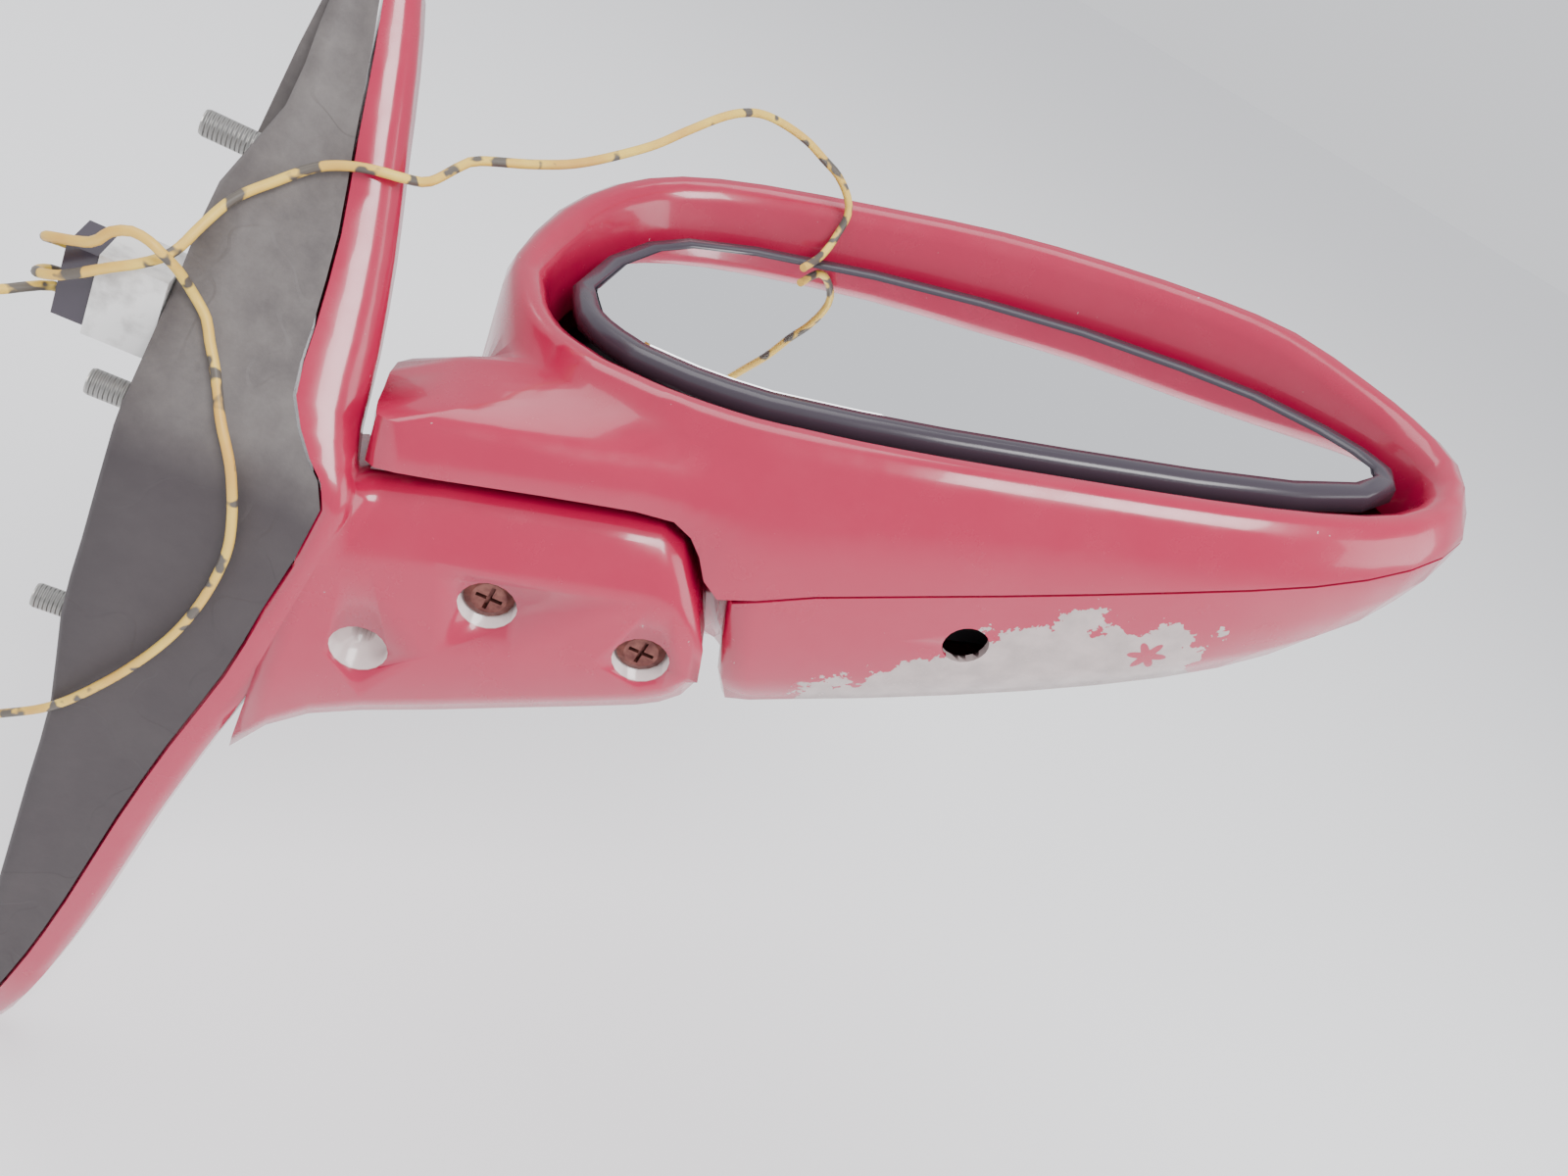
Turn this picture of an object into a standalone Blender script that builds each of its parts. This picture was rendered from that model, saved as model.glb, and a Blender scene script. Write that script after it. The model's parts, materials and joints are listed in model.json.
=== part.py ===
"""Door mirror of a car: sail base, folding head, powered mirror glass.

Row frame: X outboard from the door face, Y up on the car, Z to the rear of the car (the way the
glass faces).  The head is swept back, so it is modelled in its own axes and parented to an empty.
"""
import math

import bmesh
import bpy
from mathutils import Matrix, Vector

MM = 0.001
GAP = 0.3                      # clearance between neighbouring pieces, mm

# driving dimensions, in mm
SWEEP_DEG = 18.0               # the head leans back from the door's normal by this
HEAD_ORIGIN = (0.0, 32.0, 14.0)
SHELL_WALL = 2.0
GASKET_WALL = 3.0
STUD_RADIUS = 2.5
STUD_REACH = 7.5               # how far a stud stands out of the door face
FOLD_X, FOLD_Z = 41.5, -11.5   # break-away axis, in head axes, parallel to Y
FOLD_PIN_RADIUS = 1.5
PIVOT = (150.0, 6.0, -16.0)    # centre of the glass's ball pivot, in head axes
BALL_RADIUS = 5.0
RING_RADIUS = 8.0
TILT_ARM = 24.0                # from the ball to the plunger that tilts the glass
PAN_ARM = 26.0                 # from the ball to the plunger that pans the glass
GEAR_TIP = 9.0
GEAR_TEETH = 16
GEAR_Z = (-34.0, -30.0)
WORM_RADIUS = 2.5
MOTOR_RADIUS = 5.5
HOLDER_INSET = 9.5             # glass holder's edge, inside the rim's crest
GLASS_INSET = 14.5
COLUMNS_PER_SPAN = 2

# rim crest of the visor and the lower edge of its skirt, column by column, in head axes
RIM = [(57, 14, 3), (58, 4, 2), (60, -4, 1), (64, -11, 0), (68, -16, 0), (71, -19, 0),
       (74, -22, 0), (77, -24, 0), (81, -26.5, 0), (87, -30, 0), (95, -33.5, 0), (104, -36.5, 0),
       (113, -38, 0), (123, -39.5, 0), (140, -41, 0), (165, -42, 0), (190, -42.5, 0),
       (212, -41.5, 0), (230, -37.5, 0), (242, -29, 1), (246, -17, 3), (242, -5, 5), (235, 5, 7),
       (222, 18, 10), (206, 28, 11), (184, 39, 11), (160, 47, 11), (134, 53, 10), (105, 56, 9.5),
       (86, 54, 9), (73, 46, 8), (63, 32, 6)]
SKIRT = [(48.5, 16, -41), (47, 2, -41), (47, -9, -38), (46, -16, -30), (42, -20, -18),
         (36.4, -23, -16), (35.8, -33, -16), (36.4, -43, -16), (42, -45, -16.5), (58, -45, -17),
         (76, -45, -17.5), (92, -45, -19), (97.5, -46.5, -25), (102, -48, -33), (120, -48.5, -29),
         (155, -48.5, -23), (187, -48.5, -17), (213, -47, -12.5), (233, -42, -9), (247, -32, -7),
         (252, -17, -6), (249, -2, -7), (242, 10, -9), (229, 25, -12), (213, 36, -15),
         (190, 48, -19), (164, 57, -24), (134, 64, -29), (101, 66, -34), (79, 63, -38),
         (62, 52, -40), (52, 34, -41)]
# how much each column belongs to the neck that reaches to the sail
NECK = [0, 0, 0, 0.5, 1, 1, 1, 1, 1, 0.8, 0.5, 0.2, 0.05] + [0] * 19
# the lower cover's top edge: along the skirt, then round the back of the fixed foot
FOOT_NOTCH = [(51, -14, -41.5), (60, -20.5, -40), (74, -21.5, -39), (88, -21.5, -37.5),
              (99, -23, -36), (104.2, -30, -35), (105, -40, -34)]
SEAM_GAP = 0.5
COVER_CENTRE = (132.0, 6.0)

# sail: (Y, Z, X where the gasket ends, X of the painted face), round the outline, row frame
SAIL = [(-14, -178, 6.5, 11), (-18, -160, 9.5, 15.5), (-18, -145, 13, 19), (-18, -123, 17, 23),
        (-18, -92, 21.5, 27.5), (-18, -67, 26, 32), (-18, -44, 31, 36.5), (-18, -25, 33.5, 38.5),
        (-18, 1, 36.5, 40.5), (-14, 8, 31, 38.5), (-8, 15, 25, 36), (0, 25, 23.5, 34),
        (10, 38, 21.5, 30.5), (19, 52, 18, 26), (27, 65, 15, 22), (34, 76, 12, 18),
        (40, 82, 10.5, 15.5), (42, 76, 11, 16), (32, 30, 16, 24), (18, -25, 20, 28),
        (5, -85, 16, 22), (-5, -135, 11, 17), (-9, -165, 7, 13)]
PAD_Z = (-47.0, 51.0)          # stretch of the gasket that stands out to the door face
PAD_STEP = 5.0
# bracket plate, (Y, Z) round the outline
BRACKET = [(2.2, -58), (2.2, -46), (7, -43), (11.3, -23.6), (25.2, 31.3), (28.2, 46.4), (24, 46.4),
           (15.8, 34.0), (5.6, 20.5), (-8.4, 2.2), (-11, -1.5), (-11, -44), (-9.6, -47), (-9.6, -58)]
BRACKET_PAD = [(4.5, -42), (9, -22), (18, 14), (20, 26), (16, 29), (9.5, 22), (9.5, 6), (-1, 6),
               (-5.5, 1), (-8, -3), (-8, -42)]
STUDS = {"stud_rear": (24.0, 40.0), "stud_middle": (-7.0, 1.0), "stud_front": (-5.5, -52.0)}

# fixed foot: (x, shear, top edge, crease, underside edge) station by station, in head axes
FOOT = [(21.0, 0.30, -21, -34, -90), (25.5, 0.27, -20.5, -34, -83), (31, 0.2, -20.5, -33.5, -78.5),
        (38, 0.08, -20.5, -33.5, -76), (50, 0, -20, -33, -73.7), (65, 0, -20.5, -33, -70.8),
        (80, 0, -21, -33, -68), (90, 0, -21.5, -33, -66), (94.5, 0, -24, -34, -64.5),
        (98.5, 0, -33, -40, -62), (101, 0, -43, -46, -58)]
FOOT_FRONT, FOOT_BACK = -50.0, -24.0
SCREWS = {"foot_screw_inner": (60.0, -40.0), "foot_screw_outer": (89.5, -48.5)}
OPEN_HOLE = (36.5, -54.0)
COUNTERBORE = (5.6, 5.0)       # radius and depth
SCREW_HEAD_RADIUS = 4.9
DRAIN_HOLE = (151.0, -36.5, 4.6)


# loose wires: route of each centre line from the plug, row frame
WIRE_RADIUS = 0.9
WIRE_STEP = 4.5
WIRES = {
    "wire_a": [(-14.3, 3, 13), (-19.5, 1.5, 13.5), (-20, -4, 15.5), (-15.5, -6.8, 18.5),
               (-8.8, -6.2, 23.2), (-5.3, -5.3, 25.3), (-2.4, -3.6, 27.2), (-0.8, -0.2, 28.6),
               (0.8, 3.9, 32), (3.7, 7.9, 37), (8.6, 11.4, 41.5), (13.5, 14, 45.7), (18, 14.5, 48.2),
               (22.9, 14.1, 50), (27.8, 15.4, 50.4), (31.6, 18.9, 50.4), (35.4, 24.6, 53.3),
               (38, 27.3, 54.6), (47.2, 32.4, 56.7), (55.4, 38.3, 59.1), (65.9, 47.9, 64.3),
               (71.8, 54, 68.6), (77.5, 60.7, 72.3), (82, 65.8, 74), (86.6, 70.5, 74.3),
               (92.4, 74.5, 73.4), (98.7, 77.2, 71.8), (104.4, 79.6, 69.3), (109.3, 80.6, 67.2),
               (113.5, 80.8, 63.9), (115.5, 80.4, 60.5), (115.3, 78.8, 55.6), (113.5, 74.1, 51.5),
               (109.3, 66.2, 49.6)],
    "wire_b": [(-14.3, 1, 11.2), (-18.5, 0.8, 11), (-21.5, -1.8, 10.6), (-25, -5, 9.8), (-31, -8.5, 9),
               (-38, -10.5, 8), (-45, -12.5, 6.5)],
    "wire_c": [(-14.3, 4.4, 18), (-19.5, 3, 18.5), (-20, -3, 22), (-12.6, -6.5, 26.3),
               (-9.9, -7.2, 30), (-6.9, -7.3, 31.7), (-3.9, -7.8, 31.6), (-1.7, -8, 30.6),
               (0.9, -6.1, 27.8), (4.1, -3.4, 22.8), (7.1, -4.9, 20.5), (9, -7, 17.9),
               (11.7, -9.8, 14.5), (15.5, -15, 9.3), (18.4, -17.4, 5.4), (20.5, -18.6, 1.4),
               (22.9, -19, -6.9), (23.9, -18.9, -15.1), (22.9, -18.9, -25.8), (20.5, -18.9, -35.6),
               (16.8, -19, -44.6), (11.3, -19.3, -54.4), (3.7, -19.2, -65), (-5.2, -17.7, -73.3),
               (-12, -18.5, -76.5)],
}


def material(name, colour, roughness, metallic=0.0):
    """A plain Principled material."""
    made = bpy.data.materials.new(name)
    made.use_nodes = True
    shader = made.node_tree.nodes["Principled BSDF"]
    shader.inputs["Base Color"].default_value = (*colour, 1.0)
    shader.inputs["Roughness"].default_value = roughness
    shader.inputs["Metallic"].default_value = metallic
    return made


def collection(name):
    made = bpy.data.collections.new(name)
    bpy.context.scene.collection.children.link(made)
    return made


def add_mesh(name, points, faces, look, parent=None, group=None):
    """Object from points in mm, with its faces turned outwards."""
    mesh = bpy.data.meshes.new(name)
    shape = bmesh.new()
    verts = [shape.verts.new(Vector(point) * MM) for point in points]
    for face in faces:
        shape.faces.new([verts[i] for i in face])
    bmesh.ops.recalc_face_normals(shape, faces=shape.faces)
    middle = sum((vert.co for vert in verts), Vector()) / len(verts)
    facing = sum(f.normal.dot(f.calc_center_median() - middle) * f.calc_area() for f in shape.faces)
    if facing < 0:
        bmesh.ops.reverse_faces(shape, faces=shape.faces)
    shape.to_mesh(mesh)
    shape.free()
    mesh.shade_smooth()
    mesh.set_sharp_from_angle(angle=math.radians(35))
    made = bpy.data.objects.new(name, mesh)
    (group or PARTS).objects.link(made)
    made.parent = parent
    if look:
        made.data.materials.append(look)
    return made


def hide(cutter):
    """A cutter only shapes other pieces."""
    cutter.hide_render = True
    cutter.display_type = "WIRE"
    return cutter


def rings_mesh(rings, cap_start=False, cap_end=False):
    """Points and faces of a loft through closed rings with equal counts."""
    count = len(rings[0])
    points = [point for ring in rings for point in ring]
    faces = []
    for row in range(len(rings) - 1):
        for i in range(count):
            j = (i + 1) % count
            a, b = row * count, (row + 1) * count
            faces.append((a + i, a + j, b + j, b + i))
    if cap_start:
        faces.append(tuple(range(count)))
    if cap_end:
        last = (len(rings) - 1) * count
        faces.append(tuple(range(last, last + count)))
    return points, faces


def strip_cap(ring, start):
    """Triangles that close a long ring, zipped from its lowest Z to its highest."""
    count = len(ring)
    low = min(range(count), key=lambda i: ring[i].z)
    high = max(range(count), key=lambda i: ring[i].z)
    one = [(low + k) % count for k in range((high - low) % count + 1)]
    other = [(low - k) % count for k in range((low - high) % count + 1)]
    faces = []
    i, j = 0, 0
    while i < len(one) - 1 or j < len(other) - 1:
        forward = j == len(other) - 1
        if i < len(one) - 1 and j < len(other) - 1:
            forward = ring[one[i + 1]].z < ring[other[j + 1]].z
        corner = one[i + 1] if forward else other[j + 1]
        if len({one[i], other[j], corner}) == 3:
            faces.append((start + one[i], start + other[j], start + corner))
        if forward:
            i += 1
        else:
            j += 1
    return faces


def smooth_ring(ring, per_span=COLUMNS_PER_SPAN):
    """Closed Catmull-Rom curve through the ring's points."""
    count = len(ring)
    out = []
    for i in range(count):
        p0, p1, p2, p3 = (Vector(ring[(i + k) % count]) for k in (-1, 0, 1, 2))
        for step in range(per_span):
            t = step / per_span
            point = 0.5 * (2 * p1 + (p2 - p0) * t + (2 * p0 - 5 * p1 + 4 * p2 - p3) * t ** 2
                           + (3 * p1 - p0 - 3 * p2 + p3) * t ** 3)
            out.append(point)
    return out


def offset_ring(ring, distance, rise=0.0):
    """Ring moved outwards by distance in XY, and up by rise."""
    count = len(ring)
    out = []
    for i in range(count):
        here = Vector(ring[i])
        along = Vector(ring[(i + 1) % count]) - Vector(ring[i - 1])
        outward = Vector((along.y, -along.x, 0.0)).normalized()
        out.append(here + outward * distance + Vector((0, 0, rise)))
    return out


def at_height(ring, height):
    return [Vector((p[0], p[1], height)) for p in ring]


def box(name, low, high, look, parent=None, group=None):
    """Box between two corners, in mm."""
    xs, ys, zs = zip(low, high)
    points = [(x, y, z) for x in xs for y in ys for z in zs]
    faces = [(0, 1, 3, 2), (4, 6, 7, 5), (0, 4, 5, 1), (2, 3, 7, 6), (0, 2, 6, 4), (1, 5, 7, 3)]
    return add_mesh(name, points, faces, look, parent, group)


def turned(name, profile, centre, axis, look, parent=None, group=None, steps=16):
    """Closed turned solid: profile of (radius, height) top to bottom, about an axis."""
    rings = []
    for radius, height in profile:
        rings.append([Vector((radius * math.cos(2 * math.pi * i / steps),
                              radius * math.sin(2 * math.pi * i / steps), height))
                      for i in range(steps)])
    closed = profile[0] == profile[-1]
    points, faces = rings_mesh(rings[:-1] if closed else rings, not closed, not closed)
    if closed:
        last = (len(rings) - 2) * steps
        for i in range(steps):
            j = (i + 1) % steps
            faces.append((last + i, last + j, j, i))
    turn = Vector((0, 0, 1)).rotation_difference(Vector(axis)).to_matrix()
    points = [turn @ p for p in points]
    made = add_mesh(name, points, faces, look, parent, group)
    made.location = Vector(centre) * MM
    return made


def cut(target, cutter, operation="DIFFERENCE"):
    step = target.modifiers.new(f"{operation.lower()} {cutter.name}", "BOOLEAN")
    step.operation = operation
    step.object = cutter
    step.solver = "EXACT"
    return target


def thicken(target, wall, even=True):
    step = target.modifiers.new("wall", "SOLIDIFY")
    step.thickness = wall * MM
    step.offset = -1.0
    step.use_even_offset = even
    step.thickness_clamp = 1.0
    return target


# ---------------------------------------------------------------- head shells
def visor_rings():
    """Rings from the inner wall, over the lip, down the painted outside to the skirt."""
    rim = smooth_ring(RIM)
    skirt = smooth_ring(SKIRT)
    neck = [p.x for p in smooth_ring([(w, 0, 0) for w in NECK])]
    shoulder = offset_ring(rim, 4.5, -5.0)
    waist = []
    crease = []
    for high, low, w in zip(shoulder, skirt, neck):
        across = 0.62 * (1 - w) + 0.62 * w
        down = 0.42 * (1 - w) + 0.0 * w
        waist.append(Vector((high.x + (low.x - high.x) * across,
                             high.y + (low.y - high.y) * across,
                             high.z + (low.z - high.z) * down)))
        across = 1.0 - 0.05 * w
        down = 0.86 * (1 - w) + 0.15 * w
        crease.append(Vector((high.x + (low.x - high.x) * across,
                              high.y + (low.y - high.y) * across,
                              high.z + (low.z - high.z) * down)))
    return [at_height(offset_ring(rim, -6.0), -13.0), offset_ring(rim, -4.2, -4.5),
            offset_ring(rim, -2.8, -1.4), rim, offset_ring(rim, 2.6, -1.2), shoulder,
            waist, crease, skirt]


def build_visor_shell():
    points, faces = rings_mesh(visor_rings())
    shell = add_mesh("visor_shell", points, faces, PAINT, HEAD)
    thicken(shell, SHELL_WALL)
    for number, y in enumerate((-38.0, -27.0)):
        slot = box(f"ear_slot_{number}", (33, y - 1.9, -21), (39.2, y + 1.9, -9.5), None, HEAD, CUTTERS)
        cut(shell, hide(slot))
    return shell


def seam_height(x):
    """Height of the seam between the visor shell and the lower cover."""
    return -33.0 + 0.18 * (x - 97.0)


def cover_depth(x):
    reach = min(abs(x - 130.0) / (128.0 if x > 130 else 95.0), 1.0)
    return 36.0 * math.sqrt(1.0 - reach ** 2) + 3.0


def build_lower_cover():
    edge = [Vector(p) + Vector((0, 0, -SEAM_GAP)) for p in SKIRT[13:] + SKIRT[:3]]
    edge[0].x = 105.0
    edge[-1].z -= 1.2
    ring = smooth_ring(edge + [Vector(p) for p in FOOT_NOTCH])
    rings = []
    cx, cy = COVER_CENTRE
    for scale, share in ((1, 0), (0.992, 0.28), (0.965, 0.55), (0.90, 0.78), (0.76, 0.93),
                         (0.5, 0.99), (0.2, 1.0)):
        row = []
        for p in ring:
            x, y = cx + (p.x - cx) * scale, cy + (p.y - cy) * scale
            start = p.z * (1 - share) + seam_height(x) * share
            row.append(Vector((x, y, start - cover_depth(x) * share)))
        rings.append(row)
    points, faces = rings_mesh(rings, cap_end=True)
    cover = add_mesh("lower_cover", points, faces, PAINT, HEAD)
    thicken(cover, SHELL_WALL)
    drain = turned("drain_cutter", [(DRAIN_HOLE[2], 12), (DRAIN_HOLE[2], -12)],
                   (DRAIN_HOLE[0], -46, DRAIN_HOLE[1]), (0, -1, 0), None, HEAD, CUTTERS, 20)
    cut(cover, hide(drain))
    return cover


# ---------------------------------------------------------------- base
def sail_ring(at, shrink=0.0):
    """Closed ring of the sail at the gasket edge (2) or the painted face (3)."""
    ring = []
    count = len(SAIL)
    for i, row in enumerate(SAIL):
        ahead, behind = SAIL[(i + 1) % count], SAIL[i - 1]
        along = Vector((ahead[0] - behind[0], ahead[1] - behind[1]))
        inward = Vector((along.y, -along.x)).normalized()
        ring.append(Vector((at(row), row[0] + inward.x * shrink, row[1] + inward.y * shrink)))
    return ring


def inward_sign():
    """+1 when the ring helper's side direction points into the outline."""
    ring = sail_ring(lambda row: 0.0, 1.0)
    plain = sail_ring(lambda row: 0.0)
    centre = sum(plain, Vector()) / len(plain)
    return 1.0 if (ring[0] - centre).length < (plain[0] - centre).length else -1.0


def door_side(row):
    """X of the gasket's door edge: out at the pad, stepped back beyond it."""
    if PAD_Z[0] < row[1] < PAD_Z[1]:
        return 0.0
    return PAD_STEP if row[1] > 0 else PAD_STEP * 0.5


def build_sail_cover():
    side = inward_sign()
    back = sail_ring(lambda row: row[2])
    edge = sail_ring(lambda row: 0.45 * row[2] + 0.55 * row[3], -0.6 * side)
    front = sail_ring(lambda row: row[3], 1.2 * side)
    inner = sail_ring(lambda row: row[3] + 1.2, 6.0 * side)
    rings = [smooth_ring(ring) for ring in (back, edge, front, inner)]
    points, faces = rings_mesh(rings)
    faces += strip_cap(rings[0], 0) + strip_cap(rings[-1], 3 * len(rings[0]))
    sail = add_mesh("sail_cover", points, faces, PAINT)
    cut(sail, hide(build_foot_block()), "UNION")
    for name, (x, z) in {**SCREWS, "open_hole": OPEN_HOLE}.items():
        sink = turned(f"{name}_sink", [(COUNTERBORE[0], 12), (COUNTERBORE[0], -COUNTERBORE[1])],
                      (x, FOOT_FRONT, z), (0, -1, 0), None, HEAD, CUTTERS, 20)
        cut(sail, hide(sink))
        bore = turned(f"{name}_bore", [(2.3, 0), (2.3, -34)], (x, FOOT_FRONT, z), (0, -1, 0),
                      None, HEAD, CUTTERS, 16)
        cut(sail, hide(bore))
    return sail


def build_foot_block():
    rings = []
    for x, shear, top, crease, low in FOOT:
        section = [(FOOT_FRONT + 6.5, top), (FOOT_FRONT + 4.0, top - 2.5),
                   (FOOT_FRONT + 0.6, crease + 1.5), (FOOT_FRONT, crease - 1.5),
                   (FOOT_FRONT, (crease + low) / 2), (FOOT_FRONT + 0.8, low + 9),
                   (FOOT_FRONT + 4.0, low + 3), (FOOT_FRONT + 10.0, low),
                   (FOOT_BACK - 6.0, low + 2), (FOOT_BACK, low + 9), (FOOT_BACK, top - 8),
                   (FOOT_BACK - 3.0, top)]
        rings.append([Vector((x + shear * (z + 50.0), y, z)) for y, z in section])
    points, faces = rings_mesh(rings, True, True)
    return add_mesh("foot_block", points, faces, None, HEAD, CUTTERS)


def build_gasket():
    side = inward_sign()
    rings = [sail_ring(lambda row: row[2] - 2 * GAP, 0.4 * side),
             sail_ring(lambda row: row[2] - 3 * GAP, 0.4 * side),
             sail_ring(lambda row: 0.7 * row[2] + 0.3 * door_side(row), 1.6 * side),
             sail_ring(lambda row: 0.3 * row[2] + 0.7 * door_side(row), 1.2 * side),
             sail_ring(lambda row: door_side(row) + 0.9, 0.8 * side),
             sail_ring(lambda row: door_side(row), 2.0 * side),
             sail_ring(lambda row: door_side(row), 7.0 * side)]
    points, faces = rings_mesh([smooth_ring(r) for r in rings])
    gasket = add_mesh("door_gasket", points, faces, RUBBER)
    thicken(gasket, GASKET_WALL, even=False)
    return gasket


def prism(name, outline, low, high, look, group=None):
    """Plate between two X planes, from an outline of (Y, Z) points."""
    rings = [[Vector((x, y, z)) for y, z in outline] for x in (low, high)]
    points, faces = rings_mesh(rings, True, True)
    return add_mesh(name, points, faces, look, None, group)


def build_base_bracket():
    """Steel plate behind the sail: its pad meets the door, its wider part carries the studs."""
    plate = prism("base_bracket", BRACKET, 4.0, 6.0, STEEL)
    cut(plate, hide(prism("bracket_pad", BRACKET_PAD, 0.0, 4.5, None, CUTTERS)), "UNION")
    for name, (y, z) in STUDS.items():
        hole = turned(f"{name}_hole", [(STUD_RADIUS + GAP, 8), (STUD_RADIUS + GAP, -8)],
                      (3, y, z), (1, 0, 0), None, None, CUTTERS, 20)
        cut(plate, hide(hole))
    return plate


def build_studs():
    for name, (y, z) in STUDS.items():
        profile = [(0.9 * STUD_RADIUS, STUD_REACH), (STUD_RADIUS, STUD_REACH - 0.6),
                   (STUD_RADIUS, -6.4), (4.0, -6.4), (4.0, -8.8)]
        turned(name, profile, (0, y, z), (-1, 0, 0), ZINC)


def build_foot_screws():
    for name, (x, z) in SCREWS.items():
        profile = [(3.4, 2.3), (SCREW_HEAD_RADIUS, 1.4), (SCREW_HEAD_RADIUS, 0.3), (1.9, 0.3),
                   (1.9, -22)]
        head_face = FOOT_FRONT + COUNTERBORE[1]
        screw = turned(name, profile, (x, head_face, z), (0, -1, 0), SCREW_STEEL, HEAD)
        for number, angle in enumerate((20, 110)):
            slot = box(f"{name}_slot_{number}", (-2.6, -0.4, 1.0), (2.6, 0.4, 4.0), None, HEAD, CUTTERS)
            slot.location = Vector((x, head_face, z)) * MM
            slot.rotation_euler = (math.radians(90), math.radians(angle), 0)
            cut(screw, hide(slot))


def build_fold_hinge():
    """Two ears on the foot, the pin, and the head's arm between them."""
    for number, y in enumerate((-38.0, -27.0)):
        root = [(36.6, -20.0), (42.5, -20.0)]
        arc = [(FOLD_X + 2.8 * math.cos(a), FOLD_Z + 2.8 * math.sin(a))
               for a in (math.radians(d) for d in range(-20, 201, 20))]
        outline = root + arc
        front = [Vector((x, y - 1.4, z)) for x, z in outline]
        back = [Vector((x, y + 1.4, z)) for x, z in outline]
        points, faces = rings_mesh([front, back], True, True)
        ear = add_mesh(f"fold_ear_{number + 1}", points, faces, STEEL, HEAD)
        bore = turned(f"ear_bore_{number}", [(FOLD_PIN_RADIUS + 0.1, 4), (FOLD_PIN_RADIUS + 0.1, -4)],
                      (FOLD_X, y, FOLD_Z), (0, 1, 0), None, HEAD, CUTTERS, 20)
        cut(ear, hide(bore))
    turned("fold_pin", [(FOLD_PIN_RADIUS, 8.5), (FOLD_PIN_RADIUS, -8.5)],
           (FOLD_X, -32.5, FOLD_Z), (0, 1, 0), ZINC, HEAD, None, 20)
    arc = [(FOLD_X + 2.5 * math.cos(a), FOLD_Z + 2.5 * math.sin(a))
           for a in (math.radians(d) for d in range(40, 321, 20))]
    outline = arc + [(60, -16.2), (101, -16.2), (106, -25.2), (128, -25.2), (128, -22.5), (109, -22.5),
                     (104, -13.5), (62, -13.5)]
    front = [Vector((x, -35.8, z)) for x, z in outline]
    back = [Vector((x, -29.2, z)) for x, z in outline]
    points, faces = rings_mesh([front, back], True, True)
    arm = add_mesh("fold_arm", points, faces, STEEL, HEAD)
    bore = turned("arm_bore", [(FOLD_PIN_RADIUS + 0.1, 9), (FOLD_PIN_RADIUS + 0.1, -9)],
                  (FOLD_X, -32.5, FOLD_Z), (0, 1, 0), None, HEAD, CUTTERS, 20)
    cut(arm, hide(bore))


def build_connector():
    box("connector_housing", (-11.5, -3.5, 7), (-0.3, 8.5, 23), NYLON)
    hood = box("connector_hood", (-17, -2.5, 8), (-11.8, 7.5, 22), DARK_PLASTIC)
    mouth = box("hood_mouth", (-20, -1.3, 9.3), (-13.3, 6.2, 20.7), None, None, CUTTERS)
    cut(hood, hide(mouth))


def route_points(route):
    """Evenly spaced points on a smooth open curve through a wire's route."""
    knots = [Vector(p) for p in route]
    knots = [2 * knots[0] - knots[1]] + knots + [2 * knots[-1] - knots[-2]]
    fine = []
    for p0, p1, p2, p3 in zip(knots, knots[1:], knots[2:], knots[3:]):
        for step in range(12):
            t = step / 12
            fine.append(0.5 * (2 * p1 + (p2 - p0) * t + (2 * p0 - 5 * p1 + 4 * p2 - p3) * t ** 2
                               + (3 * p1 - p0 - 3 * p2 + p3) * t ** 3))
    fine.append(knots[-2])
    length = sum((b - a).length for a, b in zip(fine, fine[1:]))
    spacing = length / round(length / WIRE_STEP)
    out = [fine[0]]
    run = 0.0
    for a, b in zip(fine, fine[1:]):
        run += (b - a).length
        if run >= spacing * len(out) - 1e-6:
            out.append(b)
    out[-1] = fine[-1]
    return out


def build_wires():
    for name, route in WIRES.items():
        points = route_points(route)
        curve = bpy.data.curves.new(name, "CURVE")
        curve.dimensions = "3D"
        curve.bevel_depth = WIRE_RADIUS * MM
        curve.bevel_resolution = 2
        curve.use_fill_caps = True
        spline = curve.splines.new("POLY")
        spline.points.add(len(points) - 1)
        for place, point in zip(spline.points, points):
            place.co = (*(point * MM), 1.0)
        curve.materials.append(WIRE)
        PARTS.objects.link(bpy.data.objects.new(name, curve))


# ---------------------------------------------------------------- inside the head
def build_head_frame():
    outline = [(58, 30), (54, 12), (56, -6), (66, -17), (84, -19), (97, -26), (97, -37),
               (137, -37), (137, 26), (120, 44), (84, 44), (66, 40)]
    low = [Vector((x, y, -28.0)) for x, y in outline]
    high = [Vector((x, y, -25.5)) for x, y in outline]
    points, faces = rings_mesh([low, high], True, True)
    return add_mesh("head_frame", points, faces, DARK_PLASTIC, HEAD)


CASE_LOW, CASE_HIGH = (138.0, -38.0, -43.0), (190.0, 27.0, -26.0)


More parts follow.
